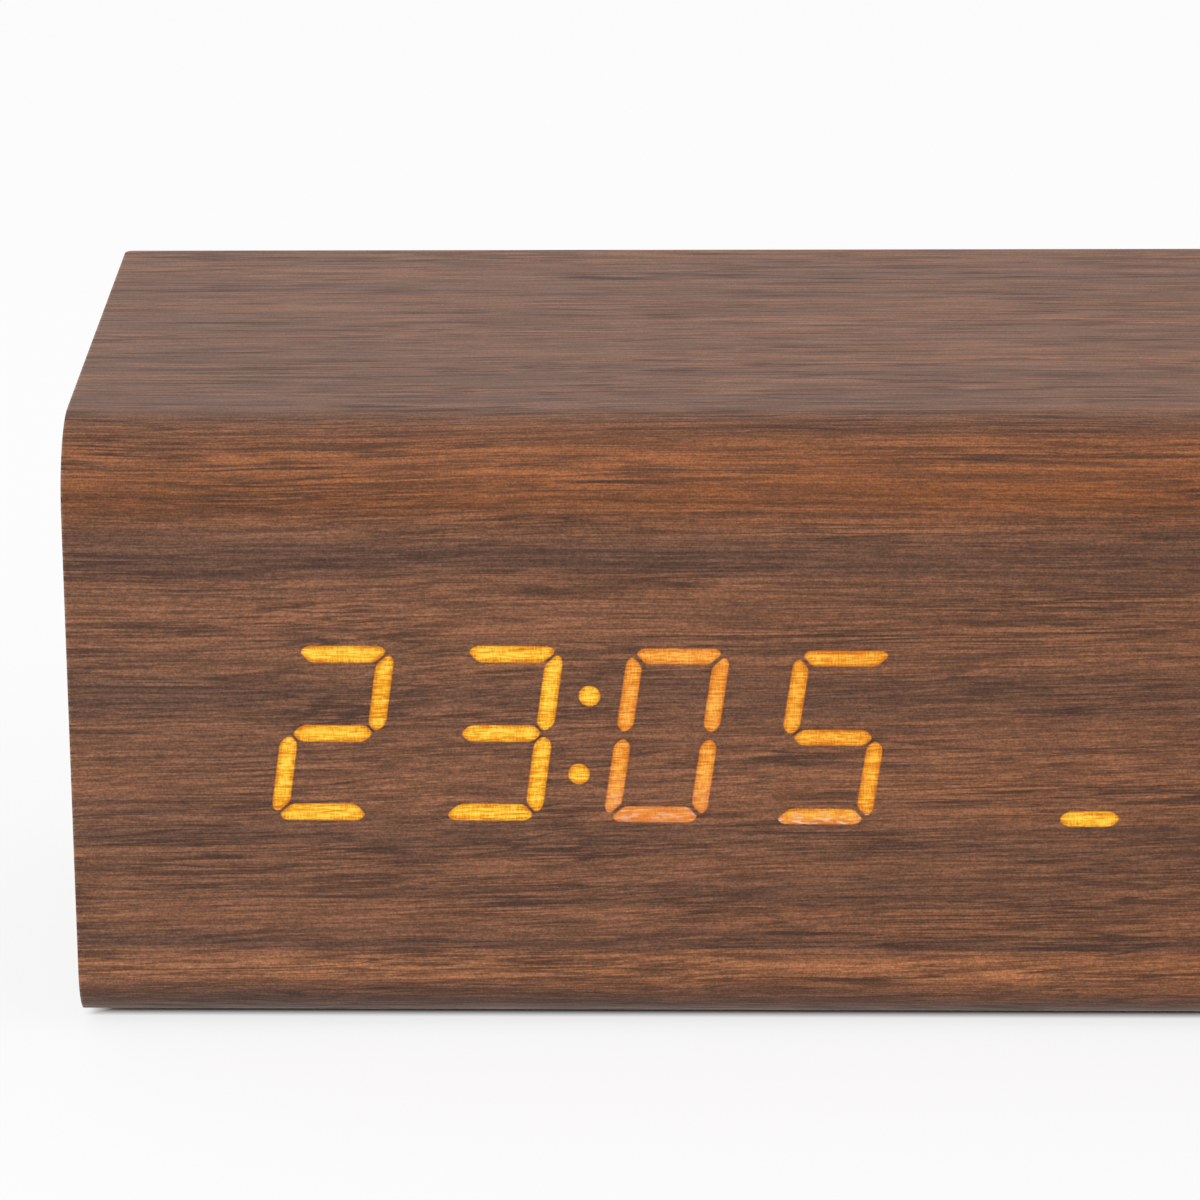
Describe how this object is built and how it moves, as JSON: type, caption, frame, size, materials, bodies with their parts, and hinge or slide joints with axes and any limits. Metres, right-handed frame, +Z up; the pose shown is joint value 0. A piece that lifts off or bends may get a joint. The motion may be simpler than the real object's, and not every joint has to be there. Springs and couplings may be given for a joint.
{
  "type": "wireless charging clock",
  "caption": "Veneered wooden block clock that shows the time through its front and charges a handset laid on its flat top.",
  "frame": {"origin": "on the ground under the middle of the block", "axes": "+X along the block's length, left to right seen from the front; +Y from the front to the rear; +Z up, out of the charging face"},
  "size_m": [0.165, 0.065, 0.0642],
  "materials": {
    "walnut_veneer": "satin walnut veneer",
    "pine_batten": "raw",
    "black_plastic": "fine spark texture",
    "white_plastic": "smooth",
    "frosted_film": "frosted",
    "board_laminate": "green solder mask",
    "ferrite": "dull",
    "copper_wire": "enamelled copper",
    "screw_steel": "zinc plated",
    "inlet_steel": "tinned",
    "cell_steel": "plated",
    "rubber": "matt",
    "lead_sleeve": "smooth",
    "amber_light": "light through veneer"
  },
  "bodies": {
    "clock": {"buzzer": "black_plastic", "cell_holder": "black_plastic", "charger_board": "board_laminate", "charger_lead": "lead_sleeve", "charger_screw_1": "screw_steel", "charger_screw_2": "screw_steel", "charger_screw_3": "screw_steel", "charger_screw_4": "screw_steel", "charging_coil": "copper_wire", "coil_tray": "white_plastic", "coin_cell": "cell_steel", "diffuser_film": "frosted_film", "display_board": "board_laminate", "display_lead": "lead_sleeve", "display_screw_1": "screw_steel", "display_screw_2": "screw_steel", "display_screw_3": "screw_steel", "display_screw_4": "screw_steel", "down_switch": "black_plastic", "ferrite_shield": "ferrite", "left_cleat": "pine_batten", "left_end_panel": "walnut_veneer", "light_box": "white_plastic", "main_board": "board_laminate", "main_screw_1": "screw_steel", "main_screw_2": "screw_steel", "main_screw_3": "screw_steel", "main_screw_4": "screw_steel", "power_inlet": "inlet_steel", "rear_panel": "black_plastic", "rear_screw_1": "screw_steel", "rear_screw_2": "screw_steel", "rear_screw_3": "screw_steel", "rear_screw_4": "screw_steel", "right_cleat": "pine_batten", "right_end_panel": "walnut_veneer", "rubber_foot_1": "rubber", "rubber_foot_2": "rubber", "rubber_foot_3": "rubber", "rubber_foot_4": "rubber", "set_switch": "black_plastic", "tray_screw_1": "screw_steel", "tray_screw_2": "screw_steel", "tray_screw_3": "screw_steel", "tray_screw_4": "screw_steel", "up_switch": "black_plastic", "wood_casing": "walnut_veneer"},
    "set_key": {"set_button": "black_plastic", "set_plunger": "white_plastic"},
    "up_key": {"up_button": "black_plastic", "up_plunger": "white_plastic"},
    "down_key": {"down_button": "black_plastic", "down_plunger": "white_plastic"},
    "battery_cover": {"battery_door": "black_plastic"}
  },
  "joints": [
    {"name": "set_press", "type": "slide", "parent": "clock", "child": "set_key", "axis": [0, -1, 0], "range_m": [0, 0.0005], "stiffness_N_per_m": 400, "springref_m": -0.0005},
    {"name": "up_press", "type": "slide", "parent": "clock", "child": "up_key", "axis": [0, -1, 0], "range_m": [0, 0.0005], "stiffness_N_per_m": 400, "springref_m": -0.0005},
    {"name": "down_press", "type": "slide", "parent": "clock", "child": "down_key", "axis": [0, -1, 0], "range_m": [0, 0.0005], "stiffness_N_per_m": 400, "springref_m": -0.0005},
    {"name": "battery_cover_lift", "type": "slide", "parent": "clock", "child": "battery_cover", "axis": [0, 1, 0], "range_m": [0, 0.01]}
  ]
}
